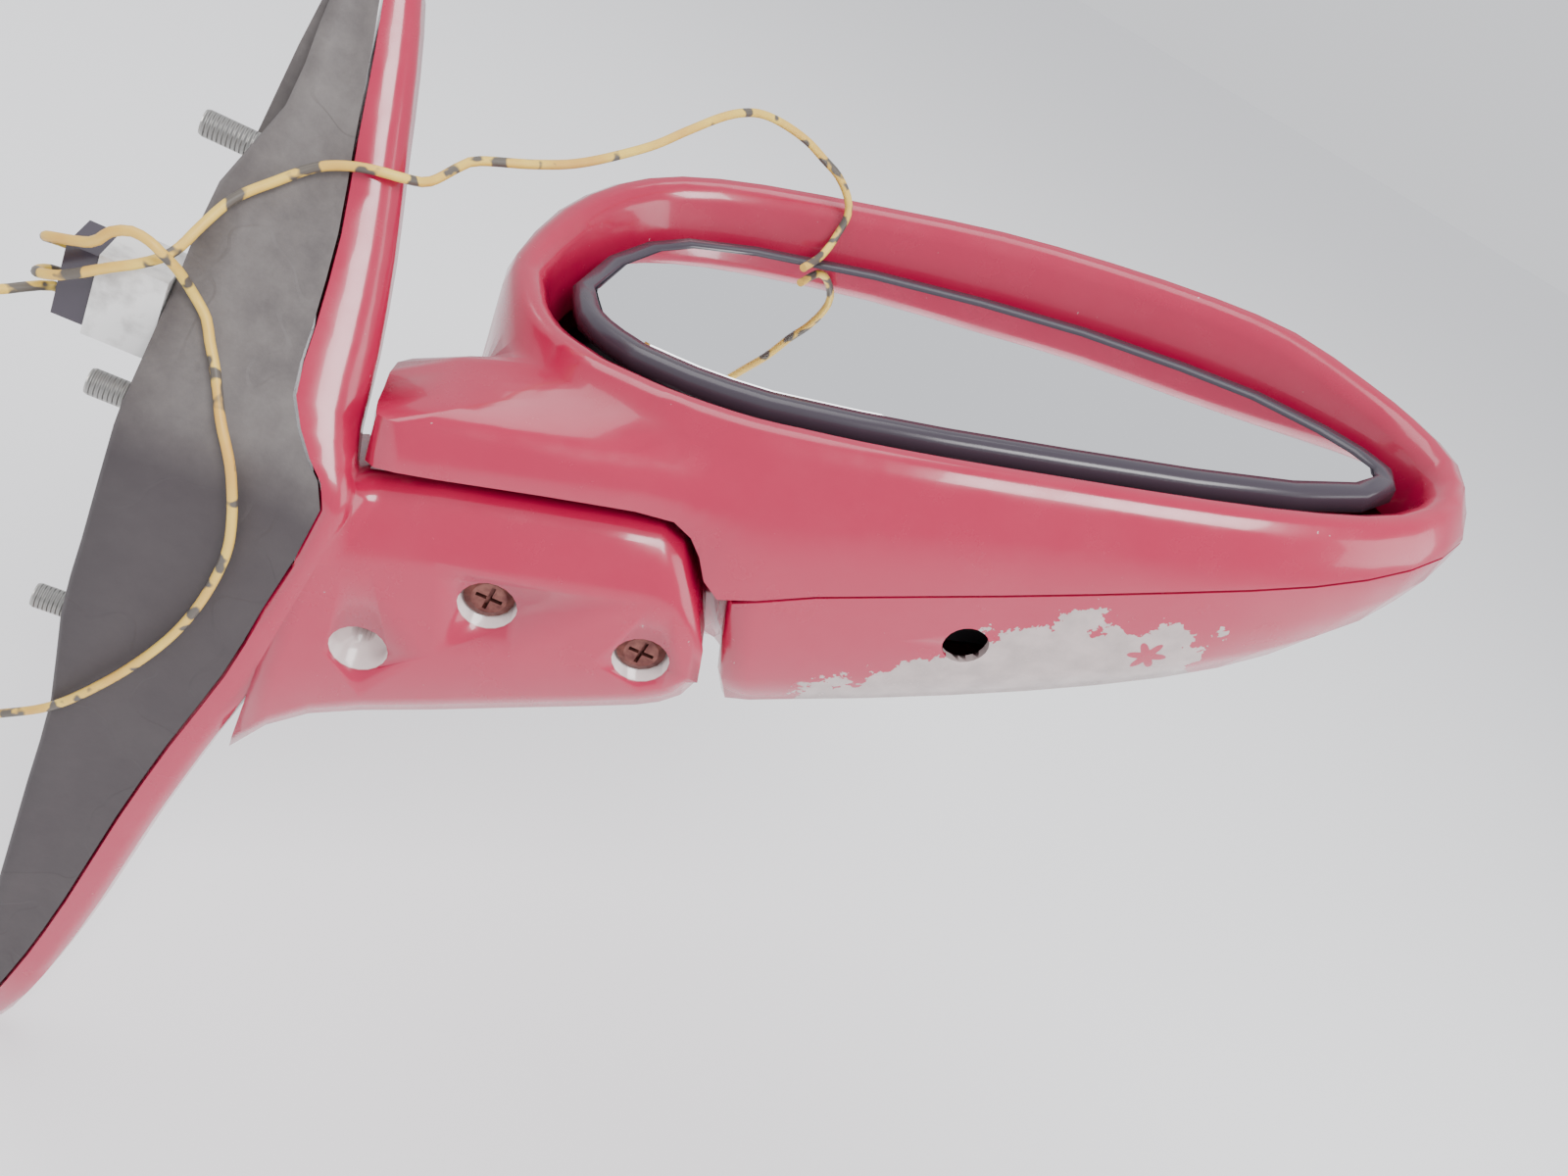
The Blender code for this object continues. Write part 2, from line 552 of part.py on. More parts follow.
def build_actuator():
    case = box("actuator_case", CASE_LOW, CASE_HIGH, DARK_PLASTIC, HEAD)
    low = (CASE_LOW[0] + 1.8, CASE_LOW[1] + 1.8, CASE_LOW[2] + 1.8)
    inside = box("case_inside", low, (CASE_HIGH[0] - 1.8, CASE_HIGH[1] - 1.8, -10), None, HEAD, CUTTERS)
    cut(case, hide(inside))
    plate = box("actuator_cover", (CASE_LOW[0], CASE_LOW[1], -25.7),
                (CASE_HIGH[0], CASE_HIGH[1], -23.7), DARK_PLASTIC, HEAD)
    for name, (x, y) in plungers().items():
        hole = turned(f"{name}_hole", [(3.4, 5), (3.4, -5)], (x, y, -24.7), (0, 0, 1), None, HEAD,
                      CUTTERS, 20)
        cut(plate, hide(hole))
    post = [(0.0, BALL_RADIUS)]
    post = [(max(BALL_RADIUS * math.sin(a), 0.6), BALL_RADIUS * math.cos(a))
            for a in (math.radians(d) for d in range(8, 150, 14))]
    post += [(2.6, -5.4), (9.0, -5.4), (9.0, -7.4)]
    turned("ball_post", post, PIVOT, (0, 0, 1), DARK_PLASTIC, HEAD, None, 20)
    for number, (x, y) in enumerate(((142.5, -33.5), (185.5, -33.5), (185.5, 22.5), (142.5, 22.5))):
        turned(f"cover_screw_{number + 1}", [(2.2, 1.6), (2.2, 0.3), (1.2, 0.3), (1.2, -1.2)],
               (x, y, -23.7), (0, 0, 1), ZINC, HEAD, None, 16)
        hole = turned(f"cover_screw_hole_{number}", [(1.5, 4), (1.5, -4)], (x, y, -24.7), (0, 0, 1),
                      None, HEAD, CUTTERS, 16)
        cut(plate, hide(hole))


def plungers():
    return {"tilt_plunger": (PIVOT[0], PIVOT[1] - TILT_ARM), "pan_plunger": (PIVOT[0] + PAN_ARM, PIVOT[1])}


def build_drives():
    """Motor, worm, gear and plunger for each of the two glass axes."""
    for which, side in (("tilt", -1.0), ("pan", 1.0)):
        x, y = plungers()[f"{which}_plunger"]
        rod = [(max(3.0 * math.sin(a), 0.5), 3.0 * math.cos(a))
               for a in (math.radians(d) for d in range(12, 132, 15))]
        rod += [(2.0, -3.0), (2.4, -4.2), (2.4, -20.0)]
        turned(f"{which}_plunger", rod, (x, y, PIVOT[2]), (0, 0, 1), NYLON, HEAD, None, 12)
        build_gear(f"{which}_gear", x, y)
        worm_y = y + side * (GEAR_TIP + WORM_RADIUS + GAP)
        build_worm(f"{which}_worm", x, worm_y)
        motor_x = x + 7.0 if which == "tilt" else x - 7.0
        way = 1.0 if which == "tilt" else -1.0
        profile = [(0.9, 22.0), (0.9, 20.0), (MOTOR_RADIUS, 20.0), (MOTOR_RADIUS, 0.0),
                   (2.0, 0.0), (2.0, -0.8)]
        turned(f"{which}_motor", profile, (motor_x, worm_y, -32.0), (way, 0, 0), ZINC, HEAD)


def build_gear(name, x, y):
    count = GEAR_TEETH
    low, high = GEAR_Z
    ring = []
    for tooth in range(count):
        for share, radius in ((0.0, GEAR_TIP - 1.2), (0.25, GEAR_TIP - 1.2), (0.4, GEAR_TIP), (0.85, GEAR_TIP)):
            angle = 2 * math.pi * (tooth + share) / count
            ring.append(Vector((radius * math.cos(angle), radius * math.sin(angle), 0)))
    points, faces = rings_mesh([at_height(ring, low), at_height(ring, high)], True, True)
    gear = add_mesh(name, points, faces, NYLON, HEAD)
    gear.location = Vector((x, y, 0)) * MM
    bore = turned(f"{name}_bore", [(2.75, 5), (2.75, -5)], (x, y, (low + high) / 2), (0, 0, 1),
                  None, HEAD, CUTTERS, 20)
    cut(gear, hide(bore))


def build_worm(name, x, y):
    profile = []
    for turn in range(6):
        along = 4.5 - turn * 1.8
        profile += [(WORM_RADIUS - 0.8, along), (WORM_RADIUS, along - 0.4),
                    (WORM_RADIUS, along - 0.9), (WORM_RADIUS - 0.8, along - 1.3)]
    turned(name, profile, (x, y, -32.0), (1, 0, 0), BRASS, HEAD, None, 10)


def build_glass():
    rim = smooth_ring(RIM, 1)
    outer = offset_ring(rim, -HOLDER_INSET)
    seat = offset_ring(rim, -GLASS_INSET)
    rings = [at_height(offset_ring(rim, -HOLDER_INSET - 2.0), -7.0), at_height(outer, -5.6),
             at_height(outer, -2.6), at_height(offset_ring(rim, -HOLDER_INSET - 1.2), -1.2),
             at_height(offset_ring(rim, -GLASS_INSET + 0.8), -1.2),
             at_height(offset_ring(rim, -GLASS_INSET + GAP), -2.0),
             at_height(offset_ring(rim, -GLASS_INSET + GAP), -5.0)]
    points, faces = rings_mesh(rings, True, True)
    holder = add_mesh("glass_holder", points, faces, DARK_PLASTIC, HEAD)
    hub = tube("hub", RING_RADIUS + 0.35, 10.8, PIVOT[0], PIVOT[1], -18.0, -6.0)
    cut(holder, hide(hub), "UNION")
    for name, (x, y) in plungers().items():
        cut(holder, hide(tube(f"{name}_socket", 3.8, 5.6, x, y, -18.6, -6.0)), "UNION")
    points, faces = rings_mesh([at_height(offset_ring(rim, -GLASS_INSET - 1.5), -4.9),
                                at_height(offset_ring(rim, -GLASS_INSET - 1.5), -4.1)], True, True)
    add_mesh("glass_pad", points, faces, FOAM, HEAD)
    points, faces = rings_mesh([at_height(seat, -4.0), at_height(seat, -2.0),
                                at_height(offset_ring(rim, -GLASS_INSET - 0.6), -1.7)], True, True)
    add_mesh("mirror_glass", points, faces, MIRROR, HEAD)
    ring = []
    for degrees in range(62, 119, 14):
        a = math.radians(degrees)
        ring.append((RING_RADIUS * math.sin(a), RING_RADIUS * math.cos(a)))
    for degrees in range(118, 61, -14):
        a = math.radians(degrees)
        ring.append(((BALL_RADIUS + GAP) * math.sin(a), (BALL_RADIUS + GAP) * math.cos(a)))
    turned("ball_ring", ring + [ring[0]], PIVOT, (0, 0, 1), NYLON, HEAD, None, 20)


def tube(name, inner, outer, x, y, low, high):
    profile = [(outer, high), (outer, low), (inner, low), (inner, high), (outer, high)]
    return turned(name, profile, (x, y, 0), (0, 0, 1), None, HEAD, CUTTERS)


for old in list(bpy.data.objects):
    bpy.data.objects.remove(old, do_unlink=True)
PARTS = collection("door_mirror")
CUTTERS = collection("cutters")
HEAD = bpy.data.objects.new("head_axes", None)
PARTS.objects.link(HEAD)
HEAD.location = Vector(HEAD_ORIGIN) * MM
HEAD.rotation_euler = (0, math.radians(-SWEEP_DEG), 0)

PAINT = material("crimson_paint", (0.56, 0.03, 0.08), 0.2)
RUBBER = material("gasket_rubber", (0.06, 0.05, 0.055), 0.7)
STEEL = material("pressed_steel", (0.45, 0.45, 0.46), 0.4, 1.0)
ZINC = material("zinc_plated", (0.55, 0.55, 0.53), 0.35, 1.0)
SCREW_STEEL = material("rusty_screw", (0.16, 0.05, 0.05), 0.5, 0.6)
NYLON = material("white_nylon", (0.75, 0.74, 0.72), 0.45)
DARK_PLASTIC = material("dark_plastic", (0.05, 0.045, 0.055), 0.35)
BRASS = material("worm_brass", (0.7, 0.52, 0.25), 0.3, 1.0)
MIRROR = material("mirror_coating", (0.85, 0.86, 0.88), 0.03, 1.0)
FOAM = material("foam_tape", (0.1, 0.1, 0.1), 0.9)
WIRE = material("yellow_wire", (0.75, 0.5, 0.08), 0.5)

build_sail_cover()
build_gasket()
build_base_bracket()
build_studs()
build_foot_screws()
build_fold_hinge()
build_connector()
build_wires()
build_visor_shell()
build_lower_cover()
build_head_frame()
build_actuator()
build_drives()
build_glass()
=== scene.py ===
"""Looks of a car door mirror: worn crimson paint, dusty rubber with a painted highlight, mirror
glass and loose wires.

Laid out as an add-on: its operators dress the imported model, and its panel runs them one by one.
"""
import json
import math

import bpy
from mathutils import Matrix, Vector

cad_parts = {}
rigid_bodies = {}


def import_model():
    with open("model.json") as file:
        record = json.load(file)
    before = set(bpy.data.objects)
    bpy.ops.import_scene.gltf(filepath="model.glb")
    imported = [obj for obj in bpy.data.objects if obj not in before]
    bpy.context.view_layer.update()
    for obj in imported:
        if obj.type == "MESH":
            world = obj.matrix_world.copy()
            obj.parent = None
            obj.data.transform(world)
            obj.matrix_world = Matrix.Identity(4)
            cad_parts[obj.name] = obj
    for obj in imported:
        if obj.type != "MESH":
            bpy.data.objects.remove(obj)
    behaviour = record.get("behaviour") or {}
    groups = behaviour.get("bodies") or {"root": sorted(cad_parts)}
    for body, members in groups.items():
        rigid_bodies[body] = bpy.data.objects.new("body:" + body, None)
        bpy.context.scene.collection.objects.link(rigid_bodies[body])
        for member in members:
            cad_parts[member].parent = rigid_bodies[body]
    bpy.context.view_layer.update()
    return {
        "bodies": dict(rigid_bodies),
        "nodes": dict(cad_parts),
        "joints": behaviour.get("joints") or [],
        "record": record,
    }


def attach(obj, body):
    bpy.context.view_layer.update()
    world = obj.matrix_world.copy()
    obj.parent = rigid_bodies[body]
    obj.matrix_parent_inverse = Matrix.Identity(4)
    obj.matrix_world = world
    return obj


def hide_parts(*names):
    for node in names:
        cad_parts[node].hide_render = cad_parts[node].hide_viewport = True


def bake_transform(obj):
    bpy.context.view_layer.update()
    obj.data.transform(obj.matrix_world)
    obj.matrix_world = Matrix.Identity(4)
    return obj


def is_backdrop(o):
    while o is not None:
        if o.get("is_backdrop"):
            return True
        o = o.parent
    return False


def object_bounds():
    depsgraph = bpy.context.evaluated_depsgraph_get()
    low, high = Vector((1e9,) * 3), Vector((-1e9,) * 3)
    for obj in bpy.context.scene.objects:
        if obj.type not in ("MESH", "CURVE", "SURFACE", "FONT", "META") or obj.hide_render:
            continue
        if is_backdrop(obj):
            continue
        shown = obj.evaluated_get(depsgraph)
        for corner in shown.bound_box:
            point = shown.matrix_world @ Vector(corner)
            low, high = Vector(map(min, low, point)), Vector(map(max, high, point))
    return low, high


bl_info = {
    "name": "Door mirror looks",
    "version": (1, 0, 0),
    "blender": (4, 5, 0),
    "location": "View3D > Sidebar > Door mirror",
    "description": "Paint, rubber, glass and wires of a car door mirror",
    "category": "Object",
}

# axes of the swept-back head, and the point that its sizes are measured from
SWEEP = math.radians(18)
UP = Vector((0, 1, 0))
ALONG = Vector((math.cos(SWEEP), 0, math.sin(SWEEP)))
FACING = Vector((-math.sin(SWEEP), 0, math.cos(SWEEP)))
HEAD_ORIGIN = Vector((0, 0.032, 0.014))
FOOT_HOLES = ((0.060, -0.040), (0.0895, -0.0485), (0.0365, -0.054))   # along and facing, head axes
COUNTERBORE_RADIUS = 0.0057
PRIMER_STAR = (0.187, -0.034)
WELL_START = -0.0490                   # on UP; the screw wells are painted pale from here upward: painted light that stands in for the bright backdrop seen through the bores
WELL_BLEND = 0.0004
WELL_MARGIN = 0.0002                   # added to the wells' radius
WELD_DISTANCE = 0.00001                # vertices closer than this are merged
THREAD_PITCH = 0.0008
WAVE_FACTOR = 20                       # a wave texture repeats every 2 pi / (20 * scale)

# the peeled patch under the head: its edge on FACING is PEEL_SLOPE * x + PEEL_START,
# and at most PEEL_LIMIT
PEEL_SLOPE = 0.62
PEEL_START = -0.130
PEEL_LIMIT = -0.026
PEEL_INBOARD = 0.122                   # its two ends on ALONG
PEEL_OUTBOARD = 0.196
PEEL_HIGHEST = -0.034                  # on UP; no patch above this
PEEL_RAGGED = 0.007
STAR_RADIUS = 0.0028
STAR_POINTS = 6.0
STAR_DEPTH = 0.0011

CAMERA_PLACE = (0.0418, -0.2215, 0.1541)
CAMERA_RIGHT = Vector((0.8820, -0.0211, 0.4709))
CAMERA_UP = Vector((-0.3679, 0.5937, 0.7157))
CAMERA_NEAR = 0.005
FLOOR_SIZE = 6
FLOOR_GAP = 0.001
# name, place, power in watts, size
LIGHTS = (
    ("key", (0.25, -0.75, 0.95), 13, 0.5),
    ("top", (-0.5, 0.35, 1.1), 8, 0.9),
    ("fill", (0.9, -0.35, 0.35), 3.5, 0.6),
)
FRAME = {}

# route of each loose wire's centre line, from the plug to its bare end
WIRES = {
    "wire_a": [(-0.0143, 0.003, 0.013), (-0.0195, 0.0015, 0.0135), (-0.02, -0.004, 0.0155),
        (-0.0155, -0.0068, 0.0185), (-0.0088, -0.0062, 0.0232), (-0.0053, -0.0053, 0.0253),
        (-0.0024, -0.0036, 0.0272), (-0.0008, -0.0002, 0.0286), (0.0008, 0.0039, 0.032),
        (0.0037, 0.0079, 0.037), (0.0086, 0.0114, 0.0415), (0.0135, 0.014, 0.0457),
        (0.018, 0.0145, 0.0482), (0.0229, 0.0141, 0.05), (0.0278, 0.0154, 0.0504),
        (0.0316, 0.0189, 0.0504), (0.0354, 0.0246, 0.0533), (0.038, 0.0273, 0.0546),
        (0.0472, 0.0324, 0.0567), (0.0554, 0.0383, 0.0591), (0.0659, 0.0479, 0.0643),
        (0.0718, 0.054, 0.0686), (0.0775, 0.0607, 0.0723), (0.082, 0.0658, 0.074),
        (0.0866, 0.0705, 0.0743), (0.0924, 0.0745, 0.0734), (0.0987, 0.0772, 0.0718),
        (0.1044, 0.0796, 0.0693), (0.1093, 0.0806, 0.0672), (0.1135, 0.0808, 0.0639),
        (0.1155, 0.0804, 0.0605), (0.1153, 0.0788, 0.0556), (0.1135, 0.0741, 0.0515),
        (0.1093, 0.0662, 0.0496)],
    "wire_b": [(-0.0143, 0.001, 0.0112), (-0.0185, 0.0008, 0.011), (-0.0215, -0.0018, 0.0106),
        (-0.025, -0.005, 0.0098), (-0.031, -0.0085, 0.009), (-0.038, -0.0105, 0.008),
        (-0.045, -0.0125, 0.0065)],
    "wire_c": [(-0.0143, 0.0044, 0.018), (-0.0195, 0.003, 0.0185), (-0.02, -0.003, 0.022),
        (-0.0126, -0.0065, 0.0263), (-0.0099, -0.0072, 0.03), (-0.0069, -0.0073, 0.0317),
        (-0.0039, -0.0078, 0.0316), (-0.0017, -0.008, 0.0306), (0.0009, -0.0061, 0.0278),
        (0.0041, -0.0034, 0.0228), (0.0071, -0.0049, 0.0205), (0.009, -0.007, 0.0179),
        (0.0117, -0.0098, 0.0145), (0.0155, -0.015, 0.0093), (0.0184, -0.0174, 0.0054),
        (0.0205, -0.0186, 0.0014), (0.0229, -0.019, -0.0069), (0.0239, -0.0189, -0.0151),
        (0.0229, -0.0189, -0.0258), (0.0205, -0.0189, -0.0356), (0.0168, -0.019, -0.0446),
        (0.0113, -0.0193, -0.0544), (0.0037, -0.0192, -0.065), (-0.0052, -0.0177, -0.0733),
        (-0.012, -0.0185, -0.0765)],
}


class MirrorLooks(bpy.types.PropertyGroup):
    """Colours and sizes that the operators use."""

    paint: bpy.props.FloatVectorProperty(
        name="Paint", description="Colour of the paint", subtype="COLOR", size=3,
        default=(0.40, 0.006, 0.048), min=0, max=1)
    # the primer colour is also brightened into the painted light of the screw wells
    primer_and_well_light: bpy.props.FloatVectorProperty(
        name="Primer", description="Colour where the paint has peeled", subtype="COLOR", size=3,
        default=(0.52, 0.43, 0.42), min=0, max=1)
    # also the pale colour of the painted highlight on the rubber gasket
    dust_and_highlight: bpy.props.FloatVectorProperty(
        name="Dust", description="Colour of dust in seams and on rubber", subtype="COLOR", size=3,
        default=(0.20, 0.18, 0.17), min=0, max=1)
    wire_radius: bpy.props.FloatProperty(
        name="Wire radius", description="Radius of each wire", default=0.0009, min=0.0003,
        unit="LENGTH", precision=4)
    wire_step: bpy.props.FloatProperty(
        name="Wire step", description="Spacing of the points along a wire", default=0.0016,
        min=0.0005, unit="LENGTH", precision=4)
    lens: bpy.props.FloatProperty(
        name="Lens", description="Focal length of the camera in mm", default=31.5, min=10)


# ------------------------------------------------------------------ material helpers
class Shader:
    """A Principled material and short calls that add nodes to it."""

    def __init__(self, name, **values):
        self.material = bpy.data.materials.new(name)
        self.material.use_nodes = True
        self.nodes = self.material.node_tree.nodes
        self.links = self.material.node_tree.links
        self.main = self.nodes["Principled BSDF"]
        for socket, value in values.items():
            self.main.inputs[socket.replace("_", " ")].default_value = value

    def place(self, socket, value):
        """Links or sets one input."""
        if isinstance(value, bpy.types.NodeSocket):
            self.links.new(value, socket)
        else:
            socket.default_value = value

    def point(self):
        """Object coordinates: the row's own metres."""
        return self.nodes.new("ShaderNodeTexCoord").outputs["Object"]

    def math(self, operation, a, b=0.0, c=None):
        node = self.nodes.new("ShaderNodeMath")
        node.operation = operation
        self.place(node.inputs[0], a)
        self.place(node.inputs[1], b)
        if c is not None:
            self.place(node.inputs[2], c)
        return node.outputs[0]

    def along(self, axis, origin=HEAD_ORIGIN):
        """Distance from the origin along an axis."""
        node = self.nodes.new("ShaderNodeVectorMath")
        node.operation = "DOT_PRODUCT"
        self.links.new(self.point(), node.inputs[0])
        node.inputs[1].default_value = axis
        return self.math("SUBTRACT", node.outputs["Value"], axis.dot(origin))

    def noise(self, scale, detail=4.0, roughness=0.6):
        node = self.nodes.new("ShaderNodeTexNoise")
        self.links.new(self.point(), node.inputs["Vector"])
        node.inputs["Scale"].default_value = scale
        node.inputs["Detail"].default_value = detail
        node.inputs["Roughness"].default_value = roughness
        return node.outputs["Fac"]

    def ramp(self, value, low, high, to_low=0.0, to_high=1.0):
        node = self.nodes.new("ShaderNodeMapRange")
        self.place(node.inputs["Value"], value)
        limits = {"From Min": low, "From Max": high, "To Min": to_low, "To Max": to_high}
        for name, number in limits.items():
            node.inputs[name].default_value = number
        return node.outputs["Result"]

    def mix(self, factor, a, b):
        node = self.nodes.new("ShaderNodeMix")
        node.data_type = "RGBA"
        self.place(node.inputs["Factor"], factor)
        self.place(node.inputs["A"], a)
        self.place(node.inputs["B"], b)
        return node.outputs["Result"]

    def feed(self, socket, value):
        self.links.new(value, self.main.inputs[socket])

    def bump(self, height, strength, distance=0.0002):
        node = self.nodes.new("ShaderNodeBump")
        node.inputs["Strength"].default_value = strength
        node.inputs["Distance"].default_value = distance
        self.links.new(height, node.inputs["Height"])
        self.feed("Normal", node.outputs["Normal"])


def rgba(colour):
    return (*colour, 1.0)


def dress(material, *nodes):
    """Gives CAD nodes a better material."""
    for name in nodes:
        node = FRAME["nodes"][name]
        node.data.materials.clear()
        node.data.materials.append(material)


def skin(context, node, material, sharp=38):
    """A smooth-shaded skin with a CAD node's own shape, which stands for that node."""
    source = FRAME["nodes"][node]
    piece = bpy.data.objects.new(f"{node}_skin", source.data.copy())
    context.collection.objects.link(piece)
    bpy.ops.object.select_all(action="DESELECT")
    piece.select_set(True)
    context.view_layer.objects.active = piece
    bpy.ops.object.mode_set(mode="EDIT")
    bpy.ops.mesh.select_all(action="SELECT")
    bpy.ops.mesh.remove_doubles(threshold=WELD_DISTANCE)
    bpy.ops.object.mode_set(mode="OBJECT")
    bpy.ops.object.shade_smooth_by_angle(angle=math.radians(sharp))
    piece.data.materials.clear()
    piece.data.materials.append(material)
    bodies = FRAME["record"]["behaviour"]["bodies"]
    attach(piece, next(body for body, nodes in bodies.items() if node in nodes))
    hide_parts(node)


def paint_shader(looks, name):
    """Glossy paint with fine dust and small chips; returns it and its colour so far."""
    paint = Shader(name, Roughness=0.2, Coat_Weight=0.5, Coat_Roughness=0.06)
    worn = paint.ramp(paint.noise(55, 6), 0.45, 0.8, 0.0, 0.14)
    colour = paint.mix(worn, rgba(looks.paint), (0.50, 0.07, 0.11, 1.0))
    chips = paint.ramp(paint.noise(420, 5), 0.735, 0.75)
    colour = paint.mix(chips, colour, rgba(looks.primer_and_well_light))
    paint.feed("Roughness", paint.ramp(paint.noise(90, 5), 0.3, 0.75, 0.14, 0.34))
    return paint, colour


def head_radius(shader, centre):
    """Distance from a line along Y through a point given in the head's axes."""
    x = shader.math("SUBTRACT", shader.along(ALONG), centre[0])
    z = shader.math("SUBTRACT", shader.along(FACING), centre[1])
    square = shader.math("ADD", shader.math("MULTIPLY", x, x), shader.math("MULTIPLY", z, z))
    return shader.math("SQRT", square), shader.math("ARCTAN2", z, x)


class MIRROR_OT_stage(bpy.types.Operator):
    """Camera below and behind, pale floor and soft light"""

    bl_idname = "door_mirror.stage"
    bl_label = "Camera, floor and light"

    def execute(self, context):
        looks = context.scene.mirror_looks
        behind = CAMERA_RIGHT.cross(CAMERA_UP)
        turn = Matrix((CAMERA_RIGHT, CAMERA_UP, behind)).transposed().to_4x4()
        bpy.ops.object.camera_add()
        camera = context.object
        camera.matrix_world = Matrix.Translation(CAMERA_PLACE) @ turn
        camera.data.lens = looks.lens
        camera.data.clip_start = CAMERA_NEAR
        context.scene.camera = camera

        low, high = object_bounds()
        middle = (Vector(low) + Vector(high)) / 2
        place = (middle.x, middle.y, low[2] - FLOOR_GAP)
        bpy.ops.mesh.primitive_plane_add(size=FLOOR_SIZE, location=place)
        floor = context.object
        floor.name = "floor"
        pale = Shader("pale_floor", Base_Color=(0.93, 0.93, 0.94, 1.0), Roughness=0.8)
        floor.data.materials.append(pale.material)
        floor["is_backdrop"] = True

        for name, place, power, size in LIGHTS:
            bpy.ops.object.light_add(type="AREA", location=place)
            light = context.object
            light.name = name
            light.data.energy = power
            light.data.size = size
            light.rotation_euler = (middle - Vector(place)).to_track_quat("-Z", "Y").to_euler()
        world = bpy.data.worlds.new("soft_room")
        context.scene.world = world
        world.use_nodes = True
        world.node_tree.nodes["Background"].inputs["Color"].default_value = (0.95, 0.96, 1.0, 1.0)
        world.node_tree.nodes["Background"].inputs["Strength"].default_value = 1.0
        return {"FINISHED"}


def smooth_route(route, step):
    """Closely spaced points on a smooth open curve through a wire's route."""
    knots = [Vector(p) for p in route]
    knots = [2 * knots[0] - knots[1]] + knots + [2 * knots[-1] - knots[-2]]
    fine = []
    for p0, p1, p2, p3 in zip(knots, knots[1:], knots[2:], knots[3:]):
        count = max(2, round((p2 - p1).length / step))
        for number in range(count):
            t = number / count
            fine.append(0.5 * (2 * p1 + (p2 - p0) * t + (2 * p0 - 5 * p1 + 4 * p2 - p3) * t ** 2
                               + (3 * p1 - p0 - 3 * p2 + p3) * t ** 3))
    return fine + [knots[-2]]


class MIRROR_OT_wires(bpy.types.Operator):
    """The loose wires, yellow with dark bands"""

    bl_idname = "door_mirror.wires"
    bl_label = "Loose wires"

    def execute(self, context):
        looks = context.scene.mirror_looks
        sleeve = Shader("banded_wire", Roughness=0.45)
        bands = sleeve.ramp(sleeve.noise(210, 2, 0.4), 0.56, 0.6)
        grime = sleeve.ramp(sleeve.noise(60, 3), 0.35, 0.7)
        yellow = sleeve.mix(grime, (0.80, 0.56, 0.10, 1.0), (0.62, 0.33, 0.06, 1.0))
        sleeve.feed("Base Color", sleeve.mix(bands, yellow, (0.10, 0.085, 0.07, 1.0)))
        for name, route in WIRES.items():
            points = smooth_route(route, looks.wire_step)
            curve = bpy.data.curves.new(f"{name}_sleeve", "CURVE")
            curve.dimensions = "3D"
            curve.bevel_depth = looks.wire_radius
            curve.bevel_resolution = 3
            curve.use_fill_caps = True
            spline = curve.splines.new("POLY")
            spline.points.add(len(points) - 1)
            for place, point in zip(spline.points, points):
                place.co = (*point, 1.0)
            curve.materials.append(sleeve.material)
            wire = bpy.data.objects.new(f"{name}_sleeve", curve)
            context.collection.objects.link(wire)
            bpy.ops.object.select_all(action="DESELECT")
            wire.select_set(True)
            context.view_layer.objects.active = wire
            bpy.ops.object.convert(target="MESH")
            if name == "wire_a":               # its far end lies on the head, which folds
                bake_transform(wire)
            else:
                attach(wire, "base")
            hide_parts(name)
        return {"FINISHED"}


class MIRROR_OT_paint(bpy.types.Operator):
    """Worn crimson paint, with the peeled patch under the head, and the screw wells painted pale
    as painted light for the backdrop seen through the bores
    """

    bl_idname = "door_mirror.paint"
    bl_label = "Paint"

    def execute(self, context):
        looks = context.scene.mirror_looks
        shell, colour = paint_shader(looks, "visor_paint")
        shell.feed("Base Color", colour)
        skin(context, "visor_shell", shell.material)

        cover, colour = paint_shader(looks, "peeling_paint")
        x = cover.along(ALONG)
        z = cover.along(FACING)
        ragged = cover.ramp(cover.noise(130, 5, 0.65), 0.3, 0.7, -PEEL_RAGGED, PEEL_RAGGED)
        slant = cover.math("MULTIPLY_ADD", x, PEEL_SLOPE, PEEL_START)
        edge = cover.math("MINIMUM", slant, PEEL_LIMIT)
        below = cover.math("SUBTRACT", cover.math("ADD", edge, ragged), z)
        inboard = cover.math("SUBTRACT", cover.math("ADD", x, ragged), PEEL_INBOARD)
        outboard = cover.math("SUBTRACT", cover.math("ADD", ragged, PEEL_OUTBOARD), x)
        under = cover.math("MULTIPLY_ADD", cover.along(UP), -1.0, PEEL_HIGHEST)
        inside = cover.math("MINIMUM", cover.math("MINIMUM", below, inboard),
                            cover.math("MINIMUM", outboard, under))
        radius, angle = head_radius(cover, PRIMER_STAR)
        points = cover.math("COSINE", cover.math("MULTIPLY", angle, STAR_POINTS))
        outline = cover.math("MULTIPLY_ADD", points, STAR_DEPTH, STAR_RADIUS)
        star = cover.math("SUBTRACT", radius, outline)
        bare = cover.ramp(cover.math("MINIMUM", inside, star), 0.0, 0.0003)
        grey = cover.mix(cover.ramp(cover.noise(180, 6), 0.35, 0.7), rgba(looks.primer_and_well_light),
                         (0.40, 0.33, 0.32, 1.0))
        cover.feed("Base Color", cover.mix(bare, colour, grey))
        cover.feed("Coat Weight", cover.ramp(bare, 0.0, 1.0, 0.5, 0.0))
        cover.bump(bare, 0.5, 0.0001)
        skin(context, "lower_cover", cover.material)

        sail, colour = paint_shader(looks, "sail_paint")
        painted_light_height = sail.ramp(sail.along(UP), WELL_START - WELL_BLEND, WELL_START)
        for centre in FOOT_HOLES:
            radius, _ = head_radius(sail, centre)
            within = sail.math("LESS_THAN", radius, COUNTERBORE_RADIUS + WELL_MARGIN)
            painted_light_well = sail.math("MULTIPLY", within, painted_light_height)
            # painted light: inside the wells the colour is the primer brightened, standing in for
            # the bright backdrop seen through the bores
            colour = sail.mix(painted_light_well, colour, rgba([min(1.0, 1.35 * c) for c in looks.primer_and_well_light]))
        sail.feed("Base Color", colour)
        skin(context, "sail_cover", sail.material)
        return {"FINISHED"}


